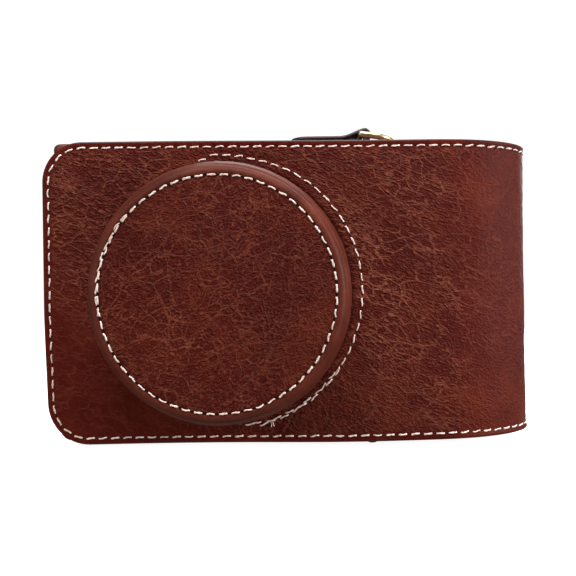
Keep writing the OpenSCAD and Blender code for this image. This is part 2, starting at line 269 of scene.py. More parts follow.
def place_wrap(uv, depth):
    """Points of the sheet at (s, z), sunk by depth from its outer surface."""
    s, z = uv[:, 0], uv[:, 1]
    x, y, nx, ny = wrap(s)
    d = depth - flare(s, z)
    return np.column_stack([x - nx * d + lean(s, z), y - ny * d, z + droop(s, z)])


def cover_to_tray(s):
    """0 on the cover, 1 on the tray."""
    return smooth(s, FRONT_LEN + END_LEN - 6, FRONT_LEN + END_LEN + 2)


# ---- flat outlines ----
def corners_of(lo, hi):
    """A rectangle's corners and the signs that point inwards, from the lower left, anticlockwise."""
    return [(lo[0], lo[1], 1, 1), (hi[0], lo[1], -1, 1), (hi[0], hi[1], -1, -1), (lo[0], hi[1], 1, -1)]


def rounded_loop(low, high, radii, inset, step):
    """Points round a rectangle with rounded corners, drawn in by inset. Radii are in corners_of order."""
    lo = np.asarray(low, float) + inset
    hi = np.asarray(high, float) - inset
    rs = [max(r - inset, 0.02) for r in radii]
    corners = corners_of(lo, hi)
    points = []
    for k, (cx, cy, sx, sy) in enumerate(corners):
        r = rs[k]
        centre = np.array([cx + sx * r, cy + sy * r])
        start = math.pi + k * math.pi / 2
        n = max(2, int(r * math.pi / 2 / step) + 1) if r > 0.1 else 1
        for i in range(n):
            a = start + (math.pi / 2) * (i + 0.5 * (n == 1)) / max(n - 1, 1)
            points.append(centre + r * np.array([math.cos(a), math.sin(a)]))
        nx, ny, tx, ty = corners[(k + 1) % 4]
        rn = rs[(k + 1) % 4]
        goal = np.array([nx + tx * rn, ny + ty * rn])
        a = start + math.pi / 2
        goal = goal + rn * np.array([math.cos(a), math.sin(a)])
        first = points[-1]
        m = int(np.linalg.norm(goal - first) / step)
        points += [first + (goal - first) * i / m for i in range(1, m)]
    return np.array(points)


def rect_depth(uv, low, high, radii):
    """Distance from points inside a rounded rectangle to its edge."""
    lo, hi = np.asarray(low, float), np.asarray(high, float)
    d = np.minimum(uv - lo, hi - uv).min(1)
    for (cx, cy, sx, sy), r in zip(corners_of(lo, hi), radii):
        dx = sx * (cx + sx * r - uv[:, 0])
        dy = sy * (cy + sy * r - uv[:, 1])
        d = np.where((dx > 0) & (dy > 0), np.minimum(d, r - np.hypot(dx, dy)), d)
    return d


# Distances from a sheet's edge at which it has a ring of points, and the width of its painted edge
RINGS = (0, 0.12, 0.3, 0.55, 0.9, 1.25, 1.55, 1.85, 2.25, 2.8)
EDGE_BAND = 0.35


def sheet(name, low, high, radii, place, thickness, relief, materials,
          hole=None, rings=RINGS, edge=0.5, step=0.95, ring_step=0.75, calm=None):
    """A thick sheet with rolled edges, cut to a rounded rectangle with a round hole, laid by place().

    materials are the grain side, the edge and the flesh side. thickness is a number or a function of uv.
    relief(uv, inset, hole_inset, points) raises the grain. calm(uv, inset, hole_inset) marks smooth parts.
    """
    loops = [rounded_loop(low, high, radii, r, ring_step) for r in rings]
    points = [loops[0]]
    if hole is not None:
        (hx, hy), hr = hole
        n_hole = int(TAU * hr / ring_step)
        points.append(circle(hx, hy, hr, n_hole))
    closed = len(points)
    clear = rings[-1]

    def hole_depth(uv):
        if hole is None:
            return np.full(len(uv), 1e3)
        return np.hypot(uv[:, 0] - hx, uv[:, 1] - hy) - hr

    for loop in loops[1:]:
        points.append(loop[hole_depth(loop) > ring_step * 0.5])
    if hole is not None:
        for k, r in enumerate(rings[1:]):
            ring = circle(hx, hy, hr + r, n_hole, (k % 2) * math.pi / n_hole)
            points.append(ring[rect_depth(ring, low, high, radii) > clear + 0.2])
    grid = brick_grid(low, high, step)
    keep = np.minimum(rect_depth(grid, low, high, radii), hole_depth(grid)) > clear + step * 0.5
    points.append(grid[keep])
    uv, tris, loops = triangulate(points, closed)
    tris = tris[hole_depth(uv[tris].mean(1)) > -1e-3]
    inset = np.maximum(rect_depth(uv, low, high, radii), 0)
    hole_in = np.maximum(hole_depth(uv), 0)
    near = np.minimum(inset, hole_in)
    roll = rolled(near, edge)
    t = thickness(uv) if callable(thickness) else thickness
    lift = relief(uv, inset, hole_in, place(uv, np.zeros(len(uv))))
    obj = thick_mesh(name, place(uv, roll - lift), place(uv, t - roll * 0.8), tris,
                     near[tris].max(1) < EDGE_BAND, loops, materials)
    if calm is not None:
        values = calm(uv, inset, hole_in)
        layer = obj.data.attributes.new("calm", "FLOAT", "POINT")
        layer.data.foreach_set("value", np.tile(values, 2).astype(np.float32))
    return obj


# ---- materials ----
class Nodes:
    """Builds a node tree with short calls."""

    def __init__(self, name):
        self.material = bpy.data.materials.new(name)
        self.material.use_nodes = True
        self.tree = self.material.node_tree
        self.shader = self.tree.nodes["Principled BSDF"]

    def add(self, kind, values=None, **settings):
        node = self.tree.nodes.new(kind)
        for key, value in settings.items():
            setattr(node, key, value)
        for key, value in (values or {}).items():
            self.put(value, node.inputs[key])
        return node

    def put(self, value, socket):
        if isinstance(value, bpy.types.NodeSocket):
            self.tree.links.new(value, socket)
        else:
            socket.default_value = value

    def math(self, operation, a, b=0.0, c=0.0):
        node = self.add("ShaderNodeMath", operation=operation)
        for socket, value in zip(node.inputs, (a, b, c)):
            self.put(value, socket)
        return node.outputs[0]

    def vector(self, operation, a, b=(0, 0, 0)):
        node = self.add("ShaderNodeVectorMath", operation=operation)
        self.put(a, node.inputs[0])
        self.put(b, node.inputs[1])
        return node.outputs[0]

    def millimetres(self, stretch=(1, 1, 1)):
        """Object coordinates in millimetres, squeezed along each axis by stretch."""
        coords = self.add("ShaderNodeTexCoord").outputs["Object"]
        return self.vector("MULTIPLY", coords, tuple(k / MM for k in stretch))

    def noise(self, vector, scale, detail=3.0, rough=0.55, output="Fac"):
        return self.add("ShaderNodeTexNoise", {"Vector": vector, "Scale": scale, "Detail": detail,
                                               "Roughness": rough}).outputs[output]

    def ramp(self, value, low, high, top=1.0):
        """0 where value is below low, top where it is above high, and straight between them."""
        node = self.add("ShaderNodeValToRGB", {"Fac": value})
        for element, place, grey in zip(node.color_ramp.elements, (low, high), (0.0, top)):
            element.position = place
            element.color = (grey, grey, grey, 1)
        return node.outputs["Color"]

    def mix(self, factor, a, b):
        node = self.add("ShaderNodeMix", data_type="RGBA")
        self.put(factor, node.inputs[0])
        for value, socket in zip((a, b), node.inputs[6:8]):
            self.put(value if isinstance(value, bpy.types.NodeSocket) else (*value, 1), socket)
        return node.outputs[2]

    def bump(self, height, strength, distance):
        """A bump whose distance is in millimetres."""
        values = {"Height": height, "Strength": strength, "Distance": distance * MM}
        return self.add("ShaderNodeBump", values).outputs[0]

    def finish(self, **values):
        for key, value in values.items():
            self.put(value, self.shader.inputs[key.replace("_", " ")])
        return self.material


def srgb(*levels):
    """A colour from 0-255 display values."""
    shares = [level / 255 for level in levels]
    return tuple(c / 12.92 if c <= 0.04045 else ((c + 0.055) / 1.055) ** 2.4 for c in shares)


def edge_lines(n, vector, scale, width):
    """Thin lines along the borders of the cells of a Voronoi pattern; width in millimetres."""
    cells = n.add("ShaderNodeTexVoronoi", {"Vector": vector, "Scale": scale}, feature="DISTANCE_TO_EDGE")
    fade = {"Value": cells.outputs["Distance"], "From Max": width * scale, "To Min": 1.0, "To Max": 0.0}
    return n.add("ShaderNodeMapRange", fade, interpolation_type="SMOOTHSTEP").outputs[0]


def leather(name, dark, light, turn=-0.35, stretch=(0.55, 1, 1.1)):
    """Waxed pull-up leather: branching pale creases over a fine pebbled grain whose gaps are darkened as
    painted shade, calmer where the mesh says so.
    """
    n = Nodes(name)
    base = n.millimetres()
    spin = n.add("ShaderNodeVectorRotate", {"Vector": base, "Angle": turn}, rotation_type="Y_AXIS")
    p = n.vector("MULTIPLY", spin.outputs[0], stretch)

    # The creases run along cell borders that slow and quick noise push about.
    def push(vector, noise_value, reach):
        return n.vector("ADD", vector, n.vector("MULTIPLY", noise_value, (reach, reach, reach)))

    half = (0.5, 0.5, 0.5)
    slow = n.vector("SUBTRACT", n.noise(p, 0.11, output="Color"), half)
    quick = n.vector("SUBTRACT", n.noise(p, 0.6, 3.0, 0.6, output="Color"), half)
    q = push(push(p, slow, 5.5), quick, 1.0)
    moved = n.vector("ADD", q, (31.0, 17.0, 5.0))

    def creases(vector, cell, width, patch, low, high, shift):
        """Lines of one size, kept to patches of the leather."""
        spots = n.noise(n.vector("ADD", p, (shift, shift, shift)), patch, 2.0)
        return n.math("MULTIPLY", edge_lines(n, vector, cell, width), n.ramp(spots, low, high))

    long = creases(q, 0.15, 0.27, 0.07, 0.38, 0.56, 3.0)
    middle = creases(moved, 0.34, 0.27, 0.13, 0.34, 0.54, 40.0)
    small = creases(q, 0.62, 0.34, 0.2, 0.30, 0.62, 80.0)
    lines = n.math("MAXIMUM", n.math("MULTIPLY", long, 0.85), n.math("MULTIPLY", middle, 0.9))
    lines = n.math("MAXIMUM", lines, n.math("MULTIPLY", small, 0.62))
    pebble_gaps_and_shade = edge_lines(n, push(p, quick, 1.7), 1.15, 0.32)
    ridged = n.math("ABSOLUTE", n.math("SUBTRACT", n.noise(p, 0.85, 3.0, 0.6), 0.5))
    ridged = n.math("MAXIMUM", n.math("MULTIPLY_ADD", ridged, -7.0, 1.0), 0.0)
    fine = n.noise(base, 2.4, 3.0, 0.6)
    calm = n.add("ShaderNodeAttribute", attribute_name="calm").outputs["Fac"]
    rest = n.math("SUBTRACT", 1.0, calm)
    streak = n.noise(n.millimetres((1.4, 1.4, 0.08)), 0.9, 3.0, 0.6)

    height = n.math("MULTIPLY_ADD", lines, 0.5, n.math("MULTIPLY", ridged, 0.26))
    height = n.math("MULTIPLY", n.math("MULTIPLY_ADD", pebble_gaps_and_shade, -0.34, height), rest)
    height = n.math("MULTIPLY_ADD", fine, 0.14, height)
    height = n.math("MULTIPLY_ADD", n.math("MULTIPLY", streak, calm), 0.22, height)

    tone = n.math("MULTIPLY_ADD", lines, 0.8, n.math("MULTIPLY", ridged, 0.13))
    # Painted shade: the gaps between the raised cells are darkened in colour, besides being sunk by the
    # bump.
    tone = n.math("MULTIPLY", n.math("MULTIPLY_ADD", pebble_gaps_and_shade, -0.3, tone), rest)
    tone = n.math("ADD", tone, n.math("MULTIPLY_ADD", fine, 0.3, -0.1))
    colour = n.mix(n.ramp(tone, 0.05, 0.95), dark, light)
    shade = (0.78 * dark[0], 0.66 * dark[1], 0.6 * dark[2])
    colour = n.mix(n.ramp(n.noise(p, 0.03, 3.0, 0.6), 0.38, 0.64, 0.6), colour, shade)
    colour = n.mix(n.ramp(n.noise(base, 0.06, 3.0, 0.6), 0.48, 0.70, 0.5), colour, srgb(112, 42, 20))
    return n.finish(Base_Color=colour, Normal=n.bump(height, 1.0, 0.78),
                    Roughness=n.math("ADD", 0.45, n.math("MULTIPLY_ADD", fine, 0.2, -0.1)),
                    Specular_IOR_Level=0.08, Sheen_Weight=0.07, Sheen_Roughness=0.3)


def plain_leather(name, dark, light, rough, veil, relief=0.3):
    """Smooth leather with a fine pore grain and slow changes of tone; veil is how much it reflects."""
    n = Nodes(name)
    p = n.millimetres()
    fine = n.noise(p, 2.2, 4.0, 0.6)
    cells = n.add("ShaderNodeTexVoronoi", {"Vector": p, "Scale": 2.0}, feature="SMOOTH_F1")
    tone = n.math("MULTIPLY_ADD", n.noise(p, 0.12), 0.7, n.math("MULTIPLY", fine, 0.3))
    colour = n.mix(n.ramp(tone, 0.35, 0.68), dark, light)
    height = n.math("MULTIPLY_ADD", fine, 0.4, n.math("MULTIPLY", cells.outputs["Distance"], 0.5))
    return n.finish(Base_Color=colour, Roughness=n.math("MULTIPLY_ADD", fine, 0.2, rough - 0.1),
                    Normal=n.bump(height, relief, 0.15), Specular_IOR_Level=veil)


def painted_edge(name, dark, light):
    """Edge paint over cut leather: nearly black brown, with faint fibre lines."""
    n = Nodes(name)
    fibre = n.noise(n.millimetres(), 1.6, 4.0, 0.65)
    colour = n.mix(n.ramp(fibre, 0.4, 0.75), dark, light)
    return n.finish(Base_Color=colour, Roughness=0.42, Normal=n.bump(fibre, 0.35, 0.12), Coat_Weight=0.1,
                    Coat_Roughness=0.3)


def suede(name, dark, light):
    n = Nodes(name)
    p = n.millimetres()
    nap = n.noise(p, 3.5, 5.0, 0.7)
    tone = n.math("MULTIPLY_ADD", n.noise(p, 0.2, 2.0), 0.6, n.math("MULTIPLY", nap, 0.4))
    colour = n.mix(n.ramp(tone, 0.36, 0.64), dark, light)
    return n.finish(Base_Color=colour, Roughness=0.92, Normal=n.bump(nap, 0.7, 0.2), Sheen_Weight=0.25,
                    Sheen_Roughness=0.5)


def board(name, dark, light):
    n = Nodes(name)
    fibre = n.noise(n.millimetres((0.4, 1.0, 1.0)), 2.0, 5.0, 0.7)
    colour = n.mix(n.ramp(fibre, 0.35, 0.7), dark, light)
    return n.finish(Base_Color=colour, Roughness=0.85, Normal=n.bump(fibre, 0.4, 0.1))


def thread(name, dark, light):
    n = Nodes(name)
    p = n.millimetres()
    fuzz = n.noise(p, 5.0, 3.0, 0.6)
    tone = n.math("MULTIPLY_ADD", n.noise(p, 0.1, 2.0), 0.8, n.math("MULTIPLY", fuzz, 0.3))
    colour = n.mix(n.ramp(tone, 0.4, 0.66), dark, light)
    return n.finish(Base_Color=colour, Roughness=0.55, Normal=n.bump(fuzz, 0.3, 0.08), Sheen_Weight=0.3)


def metal(name, colour, rough, wear):
    n = Nodes(name)
    scratch = n.noise(n.millimetres((6.0, 0.5, 0.5)), 1.2, 4.0, 0.6)
    tone = n.mix(n.ramp(n.noise(n.millimetres(), 0.5), 0.4, 0.7), colour, wear)
    return n.finish(Base_Color=tone, Metallic=1.0, Normal=n.bump(scratch, 0.12, 0.05),
                    Roughness=n.math("MULTIPLY_ADD", scratch, 0.2, rough - 0.08))


# Painted shade: the near-black colour stands in for the shadow inside the needle holes.
def painted_hole_shade(name):
    n = Nodes(name)
    colour = n.mix(n.noise(n.millimetres(), 3.0, 2.0), srgb(30, 10, 7), srgb(46, 17, 12))
    return n.finish(Base_Color=colour, Roughness=0.9, Specular_IOR_Level=0.1)


M_GRAIN = leather("crackled_leather", srgb(82, 18, 8), srgb(156, 86, 63))
M_FACE = leather("face_leather", srgb(82, 17, 7), srgb(152, 78, 54), 0.5, (0.8, 1, 1.1))
M_EDGE = painted_edge("painted_edge", srgb(38, 16, 13), srgb(66, 34, 28))
M_FLESH = suede("flesh_side", srgb(96, 60, 40), srgb(128, 86, 60))
M_SUEDE = suede("suede", srgb(112, 74, 50), srgb(146, 102, 72))
M_BOARD = board("fibreboard", srgb(120, 90, 60), srgb(160, 126, 90))
M_THREAD = thread("thread", srgb(228, 200, 184), srgb(255, 240, 231))
M_BRASS = metal("pale_brass", srgb(226, 214, 172), 0.28, srgb(196, 178, 128))
M_STEEL = metal("satin_steel", srgb(176, 176, 178), 0.35, srgb(150, 150, 150))
M_DARK_METAL = metal("gunmetal", srgb(58, 52, 48), 0.4, srgb(84, 76, 70))
M_SMOOTH = plain_leather("smooth_leather", srgb(78, 32, 22), srgb(112, 58, 42), 0.46, 0.25)
M_RIM = plain_leather("rim_leather", srgb(74, 26, 15), srgb(106, 48, 33), 0.48, 0.14, 0.75)
M_DARK_LEATHER = plain_leather("tab_leather", srgb(58, 28, 24), srgb(92, 54, 48), 0.5, 0.25)
M_HOLE_SHADE = painted_hole_shade("needle_hole")


# ---- the wrap: front, rounded end and back in one sheet ----
SHEET_LOW = (0.0, LOW_Z)
SHEET_HIGH = (SHEET_LEN, HIGH_Z)
SHEET_RADII = (10.0, 1.2, 1.2, CORNER_R)
LENS_S = LENS_X - FREE_X


def wrap_relief(uv, inset, hole_in, points):
    """Soft waves, the pull of each row of stitches and the dish round the lens cover."""
    waves = 0.16 * fbm(points, 0.045, 3, 1.0) + 0.055 * fbm(points, 0.2, 3, 2.0)
    creases = 0.06 * (1 - np.abs(fbm(points, 0.33, 3, 5.0)) * 3).clip(0, 1)
    lift = (waves + creases) * smooth(inset, 1.9, 5.0) * smooth(hole_in, 2.0, 4.0)
    pull = 0.75 + 0.25 * np.cos(TAU * (uv[:, 0] + uv[:, 1]) / PITCH)
    lift -= 0.20 * bell(inset, INSET, 0.42) * pull
    lift += 0.07 * bell(inset, INSET + 1.1, 0.55)
    lift -= 0.20 * bell(hole_in, BASE_STITCH_R - HOLE_R, 0.45)
    lift -= 0.25 * (1 - smooth(hole_in, 0.1, 1.2))
    return lift


def sheet_depth(uv):
    """The sheet is leather and board on the cover, and leather alone on the back."""
    return SHEET_T + (LEATHER - SHEET_T) * cover_to_tray(uv[:, 0])


def place_sheet(uv, depth):
    """Lays the wrap, and lets its back reach the tray's full height."""
    high = height_share(uv[:, 1])
    grow = (TOP[1][2] - HIGH_Z) * high - (LOW_Z - BOTTOM[0][2]) * (1 - high)
    tall = np.column_stack([uv[:, 0], uv[:, 1] + grow * cover_to_tray(uv[:, 0])])
    return place_wrap(tall, depth)


def bend_with_cover(obj):
    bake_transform(obj)


def calm_wrap(uv, inset, hole_in):
    """Where the wrap is smooth: its sewn margins, its lower left corner and the rounded end."""
    s, z = uv[:, 0], uv[:, 1]
    end_s = FRONT_LEN + END_LEN
    end = smooth(s, FRONT_LEN - 4, FRONT_LEN + 16) * smooth(s, end_s + 4, end_s - 14)
    corner = smooth(s + 1.1 * (z - LOW_Z), 62, 34)
    margin = 1 - smooth(inset, 1.6, 3.0)
    return np.clip(np.maximum(np.maximum(0.75 * end, 0.75 * corner), 0.9 * margin), 0, 1)


def build_wrap():
    obj = sheet("wrap_leather", SHEET_LOW, SHEET_HIGH, SHEET_RADII, place_sheet, sheet_depth, wrap_relief,
                (M_GRAIN, M_EDGE, M_FLESH), hole=((LENS_S, LENS_Z), HOLE_R), calm=calm_wrap)
    bend_with_cover(obj)
    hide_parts("cover_leather", "back_leather", "front_board", "end_board")


def build_cover_lining():
    """The suede inside the cover, from its free edge to the hinge line."""
    gap = 0.05
    length = FRONT_LEN + END_LEN - 1.5
    hole_r = 27.9

    def relief(uv, inset, hole_in, points):
        return -0.06 * fbm(points, 0.08, 3, 4.0) * smooth(inset, 0.5, 3)

    def place(uv, depth):
        return place_wrap(uv, SHEET_T + LINING_T - depth)

    obj = sheet("cover_suede", (gap, LOW_Z + gap), (length, HIGH_Z - gap),
                (10.0, 0.5, 0.5, CORNER_R), place, LINING_T - 0.02, relief, (M_SUEDE, M_EDGE, M_SUEDE),
                hole=((LENS_S, LENS_Z), hole_r), rings=(0, 0.2, 0.5, 1.2), step=1.6, ring_step=1.2,
                edge=0.3)
    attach(obj, "cover")
    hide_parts("cover_lining")


# ---- stitches ----
THREAD_STEPS = 13      # points along a stitch
THREAD_SIDES = 6
HOLE_SIDES = 12
STITCH_SHARE = 0.76    # the share of the pitch that a stitch spans


def slanted(centre, tangent, normal, slant_deg):
    """Centres, tangents and normals of stitches, with each tangent turned about its normal."""
    side = np.cross(normal, tangent)
    a = np.radians(np.broadcast_to(slant_deg, len(centre)))[:, None]
    return centre, tangent * np.cos(a) + side * np.sin(a), normal


def frames_on(place, uv, direction, slant_deg):
    """Frames of stitches at points uv that run along direction, on a placed surface."""
    step = 0.05
    zero = np.zeros(len(uv))
    centre = place(uv, zero)
    tangent = place(uv + direction * step, zero) - centre
    normal = place(uv, zero - step) - centre
    tangent /= np.linalg.norm(tangent, axis=1)[:, None]
    normal /= np.linalg.norm(normal, axis=1)[:, None]
    return slanted(centre, tangent, normal, slant_deg)


def thread_mesh(name, frames, length, seed, rise=0.2, wire=0.15, lay=0.09):
    """Two-ply stitches: each dips into its needle holes and stands a little proud between them."""
    dip, twist, bow_spread = 0.62, 0.9, 0.035
    rng = np.random.default_rng(seed)
    centre, tangent, normal = frames
    n, m, sides = len(centre), THREAD_STEPS, THREAD_SIDES
    t = np.linspace(-1, 1, m)
    side = np.cross(normal, tangent)
    bow = rng.normal(0, bow_spread, n)
    a = np.arange(sides) * TAU / sides
    verts, faces = [], []
    for ply in range(2):
        phase = rng.uniform(0, TAU, n)[:, None] + math.pi * ply + twist * math.pi * t[None, :]
        height = rise - dip * t ** 8
        spine = (centre[:, None, :] + tangent[:, None, :] * (length * 0.5 * t)[None, :, None]
                 + normal[:, None, :] * height[None, :, None]
                 + side[:, None, :] * (bow[:, None] * (1 - t ** 2))[..., None])
        spine = spine + lay * (side[:, None, :] * np.cos(phase)[..., None]
                               + normal[:, None, :] * 0.7 * np.sin(phase)[..., None])
        taper = wire * (1 - 0.25 * t ** 8)
        ring = (side[:, None, None, :] * np.cos(a)[None, None, :, None]
                + normal[:, None, None, :] * np.sin(a)[None, None, :, None]) * taper[None, :, None, None]
        verts.append((spine[:, :, None, :] + ring).reshape(-1, 3))
        for k in range(n):
            first = (ply * n + k) * m * sides
            last = first + (m - 1) * sides
            for p in range(first, last, sides):
                faces += [(p + j, p + (j + 1) % sides, p + sides + (j + 1) % sides, p + sides + j)
                          for j in range(sides)]
            faces += [tuple(range(first, first + sides))[::-1], tuple(range(last, last + sides))]
    return new_mesh(name, np.vstack(verts), faces, [M_THREAD])


def needle_holes(name, frames, gap):
    """A slit at each end of a stitch, where the thread goes in, coloured near black as painted shade inside
    the hole.
    """
    lift, half_long, half_wide, deep = 0.05, 0.4, 0.25, 0.12
    centre, tangent, normal = frames
    side = np.cross(normal, tangent)
    a = np.arange(HOLE_SIDES) * TAU / HOLE_SIDES
    verts, faces = [], []
    for k in range(len(centre)):
        middle = centre[k] + tangent[k] * gap + normal[k] * lift
        ring = (middle + np.outer(np.cos(a), tangent[k]) * half_long
                + np.outer(np.sin(a), side[k]) * half_wide - normal[k] * lift)
        first = len(verts) * (HOLE_SIDES + 1)
        verts.append(np.vstack([ring, [middle - normal[k] * deep]]))
        faces += [(first + i, first + (i + 1) % HOLE_SIDES, first + HOLE_SIDES) for i in range(HOLE_SIDES)]
    return new_mesh(name, np.vstack(verts), faces, [M_HOLE_SHADE])


def along_loop(loop, pitch):
    """Evenly spaced points round a closed loop, the direction at each and their true pitch."""
    closed = np.vstack([loop, loop[:1]])
    s = distances(closed)
    count = round(s[-1] / pitch)
    at = (np.arange(count) + 0.5) * s[-1] / count
    points = follow(closed, s, at)
    d = follow(closed, s, (at + 0.3) % s[-1]) - points
    return points, d / np.linalg.norm(d, axis=1)[:, None], s[-1] / count


def build_edge_stitches():
    sunk = 0.14
    loop = rounded_loop(SHEET_LOW, SHEET_HIGH, SHEET_RADII, INSET, 0.25)
    uv, direction, pitch = along_loop(loop, PITCH)
    rng = np.random.default_rng(11)
    slant = 5.5 + rng.normal(0, 1.6, len(uv))
    upright = np.abs(direction[:, 1]) > 0.8
    slant = np.where(upright, -3 + rng.normal(0, 1.5, len(uv)), slant)

    def place(p, depth):
        return place_sheet(p, depth + sunk)

    frames = frames_on(place, uv, direction, slant)
    obj = thread_mesh("edge_stitches", frames, pitch * STITCH_SHARE, 1)
    bend_with_cover(obj)
    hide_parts("cover_stitches", "back_stitches")
    holes = needle_holes("edge_needle_holes", frames, pitch / 2)
    bend_with_cover(holes)


def on_lens(angle, radius, out):
    """Points of the lens cover, anticlockwise as seen from the front, from the viewer's right.

    The cup hangs a little, and moves to the viewer's right, towards its front.
    """
    hang = smooth(out, 3, LENS_OUT)
    return np.column_stack([LENS_X + radius * np.cos(angle) + 0.3 * hang, -HALF_D - out,
                            LENS_Z + radius * np.sin(angle) - 0.45 * hang])


def ring_frames(angle, radius, out, slant_deg):
    """Frames of stitches that run round the lens cover and lie flat to the front."""
    centre = on_lens(angle, np.broadcast_to(radius, len(angle)), np.broadcast_to(out, len(angle)))
    tangent = np.column_stack([-np.sin(angle), np.zeros(len(angle)), np.cos(angle)])
    return slanted(centre, tangent, np.tile([0.0, -1.0, 0.0], (len(angle), 1)), slant_deg)


def build_face_stitches():
    """The row on the lens cover's face, with a stretch at the left that is sewn over twice."""
    rng = np.random.default_rng(5)
    angle = (np.arange(FACE_STITCHES) + 0.35) * TAU / FACE_STITCHES
    frames = ring_frames(angle, FACE_STITCH_R, LENS_OUT - 0.16,
                         4 + rng.normal(0, 1.8, FACE_STITCHES))
    pitch = TAU * FACE_STITCH_R / FACE_STITCHES
    obj = thread_mesh("face_stitches_thread", frames, pitch * 0.74, 2)
    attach(obj, "cover")
    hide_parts("face_stitches")
    holes = needle_holes("face_needle_holes", frames, pitch / 2)
    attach(holes, "cover")
    twice = np.radians(np.arange(140, 192, 5.3))
    frames = ring_frames(twice, FACE_STITCH_R + 0.22 + rng.normal(0.0, 0.1, len(twice)), LENS_OUT - 0.08,
                         rng.normal(-5, 5, len(twice)))
    again = thread_mesh("face_stitches_overlap", frames, pitch * 0.8, 3, wire=0.1, lay=0.07)
    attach(again, "cover")


def base_ring(angle):
    """Radius of the base stitching, which runs closer in on the left."""
    turn = np.degrees(angle) % 360
    return BASE_STITCH_R - 2.0 * smooth(turn, 93, 106) * smooth(turn, 287, 270) - 0.5 * bell(turn, 76, 14)


def build_base_stitches():
    """The row round the lens cover's base, with a messy stretch and a frayed end at the lower right."""
    rng = np.random.default_rng(6)
    angle = np.arange(BASE_STITCHES) * TAU / BASE_STITCHES
    angle = angle[~((np.degrees(angle) > 281) & (np.degrees(angle) < 322))]
    frames = ring_frames(angle, base_ring(angle), -0.18, 4 + rng.normal(0, 2, len(angle)))
    pitch = TAU * BASE_STITCH_R / BASE_STITCHES
    obj = thread_mesh("base_stitches_thread", frames, pitch * STITCH_SHARE, 4)
    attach(obj, "cover")
    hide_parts("base_stitches")
    holes = needle_holes("base_needle_holes", frames, pitch / 2)
    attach(holes, "cover")
    messy = np.radians(np.linspace(277, 324, 17))
    sway = np.arange(len(messy)) * 2.4
    radius = base_ring(messy) - 0.1 + 0.28 * np.sin(sway)
    frames = ring_frames(messy, radius, 0.02, 9 * np.sin(sway + 1.2))
    again = thread_mesh("base_stitches_overlap", frames, pitch * 0.82, 5, rise=0.18)
    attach(again, "cover")
    frames = ring_frames(np.radians([288.5, 289.4]), BASE_STITCH_R + 0.75, 0.05, (78.0, 97.0))
    fray = thread_mesh("thread_fray", frames, 1.5, 6, rise=0.1, wire=0.1)
    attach(fray, "cover")


# ---- lens cover ----
def revolve(name, profile, materials, slots, relief):
    """Turns a closed profile of (radius, out) points about the lens axis.

    relief(angle, radius, out) moves points along the radius and outwards.
    """
    count = 288
    profile = np.asarray(profile, float)
    m = len(profile)
    a, i = np.meshgrid(np.arange(count) * TAU / count, np.arange(m), indexing="ij")
    radius, out = profile[i, 0], profile[i, 1]
    dr, dz = relief(a, radius, out)
    verts = on_lens(a.ravel(), (radius + dr).ravel(), (out + dz).ravel())
    faces = []
    for k in range(count):
        this, after = k * m, ((k + 1) % count) * m
        faces += [(this + j, this + (j + 1) % m, after + (j + 1) % m, after + j) for j in range(m)]
    obj = new_mesh(name, verts, faces, materials, slots * count)
    face_outwards(obj, weld=True)
    return obj


def build_lens_wall():
    """The lens cover's side: its foot inside the wrap, the wall, and the shoulder that meets the face."""
    t = LEATHER
    shoulder_r = WALL_R - SHOULDER_W
    rim = FACE_R - 0.35
    foot = -t - 0.85
    outer = [(HOLE_R + 2.8, foot), (HOLE_R + 2.8, -t - 0.02), (HOLE_R - 0.1, -t + 0.05)]
    outer += [(HOLE_R - 0.25, -t + 0.4), (WALL_R + 0.55, -0.1), (WALL_R + 0.3, 0.7), (WALL_R + 0.1, 1.7)]
    outer += [(WALL_R, z) for z in np.linspace(2.6, SHOULDER_Z - 1.6, 12)]
    turn_z = SHOULDER_Z - 0.8
    outer += [(WALL_R - (WALL_R - rim) * k ** 1.7, turn_z + (LENS_OUT - 0.55 - turn_z) * k)
              for k in np.linspace(0, 0.928, 26)]
    outer += [(rim, LENS_OUT - 1.3), (rim - 0.7, LENS_OUT - 1.4)]
    inner = [(WALL_R - t, foot)]
    inner += [tuple(p) for p in arc(shoulder_r, SHOULDER_Z, SHOULDER_W - t, SHOULDER_H - t, 0, 1, 22)]
    inner += [(shoulder_r - 4, SHOULDER_Z + SHOULDER_H - t)]
    slots = [0] * (len(outer) - 1) + [1] * (len(inner) + 1)
    skin_r = rim - 0.8

    def relief(a, radius, out):
        """Fine and slow waves, a groove at the upper right and a lip low down, on the outer skin alone."""
        skin = (radius > skin_r) & (out > 0.5) & (radius <= HOLE_R - 1.0)
        shoulder = smooth(out, 8, 15) * (1 - smooth(out, 21.6, 22.2))
        points = np.column_stack([np.cos(a.ravel()) * 26, np.sin(a.ravel()) * 26, out.ravel() * 0.16])
        fine = fbm(points, 0.9, 3, 3.0).reshape(a.shape)
        slow = fbm(points, 0.07, 2, 8.0).reshape(a.shape)
        right = smooth(np.cos(a - math.radians(42)), 0.45, 0.95)
        groove = bell(out, 20.4, 0.4) * right - 0.6 * bell(out, 19.2, 0.7) * right
        low = smooth(np.cos(a - math.radians(255)), 0.35, 0.9)
        lip = 0.35 * bell(out, 13.2, 0.45) * low - 0.3 * bell(out, 14.6, 0.6) * low
        return (0.07 * fine * shoulder + 0.14 * slow - 0.3 * groove + lip) * skin, 0

    obj = revolve("lens_cover_wall", outer + inner[::-1], (M_RIM, M_FLESH), slots, relief)
    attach(obj, "cover")
    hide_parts("lens_wall")


